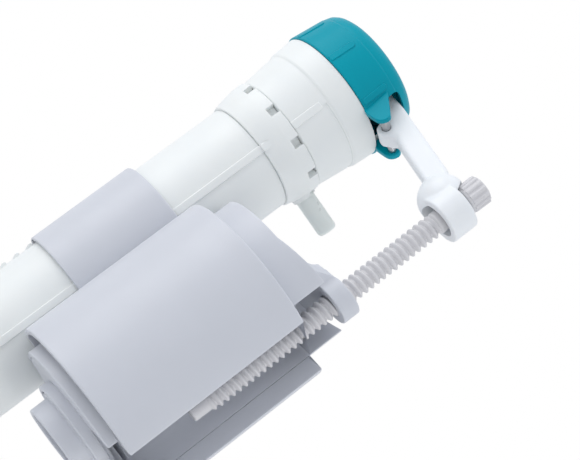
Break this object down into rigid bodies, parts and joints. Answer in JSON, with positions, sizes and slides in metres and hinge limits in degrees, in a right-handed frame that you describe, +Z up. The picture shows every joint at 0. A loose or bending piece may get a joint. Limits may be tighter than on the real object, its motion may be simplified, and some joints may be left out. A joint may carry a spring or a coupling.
{
  "type": "float valve",
  "caption": "Cistern float valve: threaded shank, telescoping riser, diaphragm head with teal cap, drooping side lever, threaded adjusting rod and grey cup float that slides on the riser.",
  "frame": {"origin": "centre of the tank washer's seating face, on the riser's axis", "axes": "+Z up the riser, +X along the lever arm towards the adjusting rod"},
  "size_m": [0.0877, 0.0554, 0.2546],
  "materials": {
    "natural_white": "satin moulded polypropylene, faintly translucent",
    "lever_white": "satin acetal",
    "teal_plastic": "semi-gloss moulded plastic, teal",
    "float_grey": "satin light grey polypropylene",
    "rod_grey": "satin grey acetal",
    "nipple_clear": "translucent nylon",
    "rubber_grey": "moulded rubber",
    "rubber_black": "moulded rubber",
    "pin_steel": "ground stainless steel",
    "filter_grey": "woven and moulded nylon",
    "orange_plastic": "moulded plastic"
  },
  "bodies": {
    "base": {"threaded_shank": "natural_white", "tank_washer": "rubber_grey", "base_socket": "natural_white", "inlet_filter": "filter_grey", "flow_restrictor": "orange_plastic", "standpipe_o_rings": "rubber_black"},
    "slip_washer": {"slip_washer": "natural_white"},
    "locknut": {"locknut": "natural_white"},
    "lock_collar": {"height_lock_collar": "natural_white"},
    "riser": {"riser_tube": "natural_white", "supply_tube": "natural_white", "coupling_ring": "natural_white", "refill_nipple": "nipple_clear", "valve_head": "natural_white", "valve_seat": "lever_white", "diaphragm": "rubber_grey", "metering_pin": "pin_steel", "pressure_plate": "lever_white", "head_o_ring": "rubber_black", "cap": "teal_plastic", "pivot_pin": "pin_steel"},
    "main_valve": {"diaphragm_plate": "lever_white"},
    "lever": {"lever_arm": "lever_white", "pilot_seal": "rubber_black"},
    "rod_carrier": {"rod_bush": "lever_white"},
    "rod": {"adjusting_rod": "rod_grey"},
    "float": {"float_shell": "float_grey", "float_core": "float_grey", "float_bottom_cap": "float_grey"}
  },
  "joints": [
    {"name": "height_adjust", "type": "slide", "parent": "base", "child": "riser", "axis": [0, 0, 1], "range_m": [-0.003, 0.02]},
    {"name": "height_lock", "type": "hinge", "parent": "base", "child": "lock_collar", "pos_m": [0, 0, 0.04], "axis": [0, 0, 1], "range_deg": [0, 60]},
    {"name": "nut_travel", "type": "slide", "parent": "base", "child": "slip_washer", "axis": [0, 0, 1], "range_m": [-0.022, 0]},
    {"name": "nut_spin", "type": "hinge", "parent": "slip_washer", "child": "locknut", "pos_m": [0, 0, -0.0156], "axis": [0, 0, 1], "range_deg": [-4380, 0]},
    {"name": "float_travel", "type": "slide", "parent": "riser", "child": "rod_carrier", "axis": [0, 0, 1], "range_m": [0, 0.01024]},
    {"name": "lever_pivot", "type": "hinge", "parent": "riser", "child": "lever", "pos_m": [0.0228, 0, 0.1968], "axis": [0, -1, 0], "range_deg": [0, 17.4]},
    {"name": "main_valve_lift", "type": "slide", "parent": "riser", "child": "main_valve", "axis": [0, 0, 1], "range_m": [-0.00116, 0], "deforming": ["diaphragm"]},
    {"name": "level_adjust", "type": "slide", "parent": "rod_carrier", "child": "float", "axis": [0, 0, 1], "range_m": [-0.02, 0.006]},
    {"name": "rod_spin", "type": "hinge", "parent": "rod_carrier", "child": "rod", "pos_m": [0.0563, 0, 0.15], "axis": [0, 0, 1], "range_deg": [-1081, 3601]}
  ],
  "couplings": [
    {"joint": "nut_spin", "follows": "nut_travel", "rad_per_m": 3463.7},
    {"joint": "lever_pivot", "follows": "float_travel", "rad_per_m": 29.486},
    {"joint": "main_valve_lift", "follows": "float_travel", "ratio": -0.1123},
    {"joint": "rod_spin", "follows": "level_adjust", "rad_per_m": -3141.6}
  ]
}
